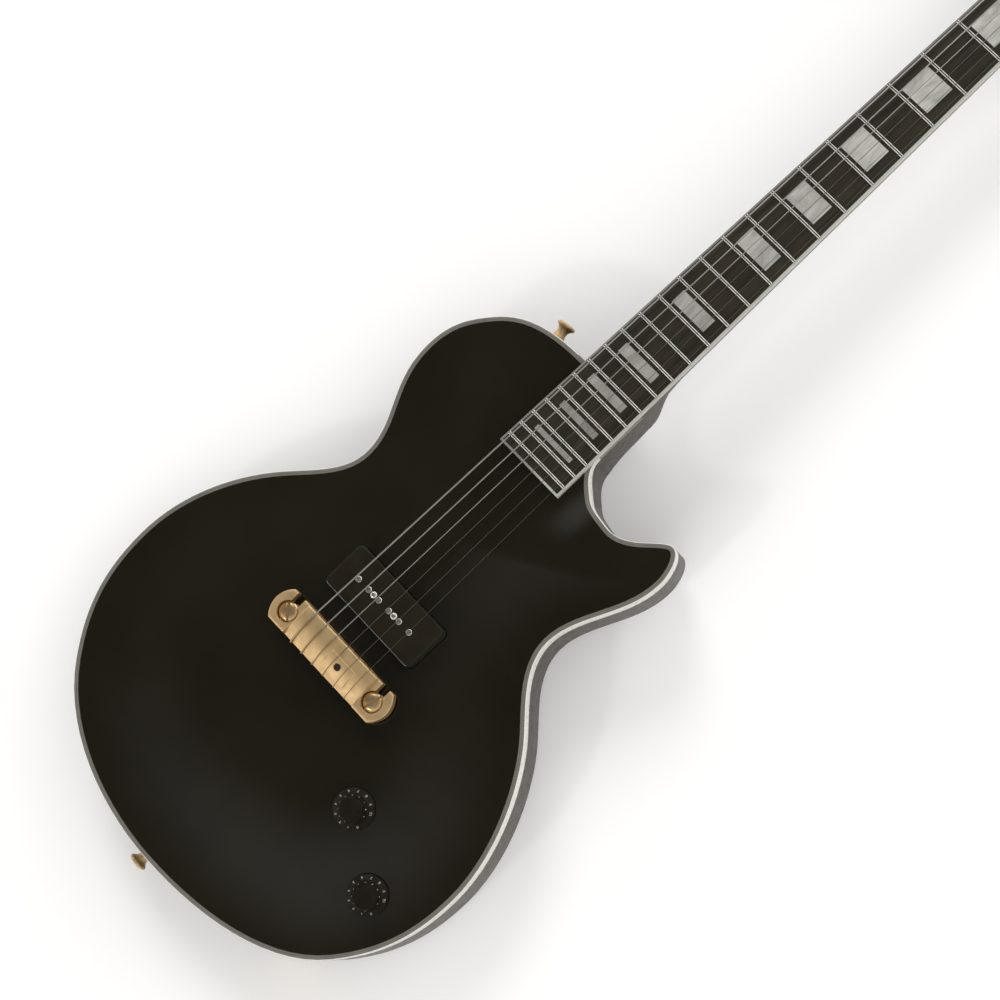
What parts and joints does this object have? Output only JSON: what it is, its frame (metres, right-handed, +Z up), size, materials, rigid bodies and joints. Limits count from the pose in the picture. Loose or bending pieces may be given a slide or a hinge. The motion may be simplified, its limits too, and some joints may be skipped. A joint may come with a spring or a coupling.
{
  "type": "electric guitar",
  "caption": "Single-cutaway solid-body electric guitar with a carved bound top, soap-bar pickup, wraparound bridge, block inlays and geared tuners.",
  "frame": {"origin": "on the floor under the middle of the guitar's bounding box, the guitar lying on its back", "axes": "+X along the strings from tail to headstock, +Y toward the bass side, +Z up out of the top"},
  "size_m": [1.0274, 0.3398, 0.0911],
  "materials": {
    "black_lacquer": "gloss black lacquer over mahogany and maple",
    "cream_binding": "off-white binding, polished",
    "dark_board": "dark ebony, oiled",
    "pearl": "grey pearl, polished",
    "fret_wire": "polished nickel silver",
    "black_plastic": "satin black",
    "knob_plastic": "gloss black, plain gold numbers round the skirt",
    "coil_wire": "enamelled copper wire",
    "steel": "plain steel",
    "plain_metal": "bare metal",
    "gold": "gold plated, polished",
    "string_wire": "nickel-wound and plain steel wire"
  },
  "bodies": {
    "guitar": {"body_back": "black_lacquer", "body_top": "black_lacquer", "bridge_bar": "gold", "bridge_bushing_bass": "steel", "bridge_bushing_treble": "steel", "bridge_stud_bass": "gold", "bridge_stud_treble": "gold", "control_cover": "black_plastic", "fretboard": "dark_board", "fretboard_binding": "cream_binding", "frets": "fret_wire", "headstock_overlay": "black_lacquer", "inlays": "pearl", "jack_plate": "gold", "neck": "black_lacquer", "nut": "cream_binding", "output_jack": "steel", "pickup_baseplate": "plain_metal", "pickup_bobbin": "black_plastic", "pickup_coil": "coil_wire", "pickup_cover": "black_plastic", "pickup_poles": "steel", "pickup_screw_bass": "gold", "pickup_screw_treble": "gold", "strap_button_shoulder": "gold", "strap_button_tail": "gold", "string_1": "string_wire", "string_2": "string_wire", "string_3": "string_wire", "string_4": "string_wire", "string_5": "string_wire", "string_6": "string_wire", "tone_pot": "plain_metal", "top_binding": "cream_binding", "truss_rod": "steel", "truss_rod_cover": "black_plastic", "tuner_housing_1": "gold", "tuner_housing_2": "gold", "tuner_housing_3": "gold", "tuner_housing_4": "gold", "tuner_housing_5": "gold", "tuner_housing_6": "gold", "volume_pot": "plain_metal"},
    "tuner_button_6": {"tuner_button_6": "gold"},
    "tuner_post_6": {"tuner_post_6": "gold"},
    "tuner_button_5": {"tuner_button_5": "gold"},
    "tuner_post_5": {"tuner_post_5": "gold"},
    "tuner_button_4": {"tuner_button_4": "gold"},
    "tuner_post_4": {"tuner_post_4": "gold"},
    "tuner_button_3": {"tuner_button_3": "gold"},
    "tuner_post_3": {"tuner_post_3": "gold"},
    "tuner_button_2": {"tuner_button_2": "gold"},
    "tuner_post_2": {"tuner_post_2": "gold"},
    "tuner_button_1": {"tuner_button_1": "gold"},
    "tuner_post_1": {"tuner_post_1": "gold"},
    "volume_control": {"volume_knob": "knob_plastic", "volume_shaft": "plain_metal"},
    "tone_control": {"tone_knob": "knob_plastic", "tone_shaft": "plain_metal"}
  },
  "joints": [
    {"name": "tuner_turn_6", "type": "hinge", "parent": "guitar", "child": "tuner_button_6", "pos_m": [0.39068, 0.0312, 0.02793], "axis": [0, 1, 0], "continuous": true},
    {"name": "post_turn_6", "type": "hinge", "parent": "guitar", "child": "tuner_post_6", "pos_m": [0.388, 0.0312, 0.04791], "axis": [0.2713, 0, 0.9625], "continuous": true},
    {"name": "tuner_turn_5", "type": "hinge", "parent": "guitar", "child": "tuner_button_5", "pos_m": [0.42918, 0.0312, 0.01708], "axis": [0, 1, 0], "continuous": true},
    {"name": "post_turn_5", "type": "hinge", "parent": "guitar", "child": "tuner_post_5", "pos_m": [0.4265, 0.0312, 0.03705], "axis": [0.2713, 0, 0.9625], "continuous": true},
    {"name": "tuner_turn_4", "type": "hinge", "parent": "guitar", "child": "tuner_button_4", "pos_m": [0.46768, 0.0312, 0.00623], "axis": [0, 1, 0], "continuous": true},
    {"name": "post_turn_4", "type": "hinge", "parent": "guitar", "child": "tuner_post_4", "pos_m": [0.465, 0.0312, 0.0262], "axis": [0.2713, 0, 0.9625], "continuous": true},
    {"name": "tuner_turn_3", "type": "hinge", "parent": "guitar", "child": "tuner_button_3", "pos_m": [0.46768, -0.0228, 0.00623], "axis": [0, -1, 0], "continuous": true},
    {"name": "post_turn_3", "type": "hinge", "parent": "guitar", "child": "tuner_post_3", "pos_m": [0.465, -0.0228, 0.0262], "axis": [0.2713, 0, 0.9625], "continuous": true},
    {"name": "tuner_turn_2", "type": "hinge", "parent": "guitar", "child": "tuner_button_2", "pos_m": [0.42918, -0.0228, 0.01708], "axis": [0, -1, 0], "continuous": true},
    {"name": "post_turn_2", "type": "hinge", "parent": "guitar", "child": "tuner_post_2", "pos_m": [0.4265, -0.0228, 0.03705], "axis": [0.2713, 0, 0.9625], "continuous": true},
    {"name": "tuner_turn_1", "type": "hinge", "parent": "guitar", "child": "tuner_button_1", "pos_m": [0.39068, -0.0228, 0.02793], "axis": [0, -1, 0], "continuous": true},
    {"name": "post_turn_1", "type": "hinge", "parent": "guitar", "child": "tuner_post_1", "pos_m": [0.388, -0.0228, 0.04791], "axis": [0.2713, 0, 0.9625], "continuous": true},
    {"name": "volume_turn", "type": "hinge", "parent": "guitar", "child": "volume_control", "pos_m": [-0.37097, -0.0802, 0.06977], "axis": [-0.0434, -0.0992, 0.9941], "range_deg": [-150, 150]},
    {"name": "tone_turn", "type": "hinge", "parent": "guitar", "child": "tone_control", "pos_m": [-0.40423, -0.1272, 0.0606], "axis": [-0.0875, -0.1354, 0.9869], "range_deg": [-150, 150]}
  ],
  "couplings": [
    {"joint": "post_turn_6", "follows": "tuner_turn_6", "ratio": 0.066667},
    {"joint": "post_turn_5", "follows": "tuner_turn_5", "ratio": 0.066667},
    {"joint": "post_turn_4", "follows": "tuner_turn_4", "ratio": 0.066667},
    {"joint": "post_turn_3", "follows": "tuner_turn_3", "ratio": -0.066667},
    {"joint": "post_turn_2", "follows": "tuner_turn_2", "ratio": -0.066667},
    {"joint": "post_turn_1", "follows": "tuner_turn_1", "ratio": -0.066667}
  ]
}
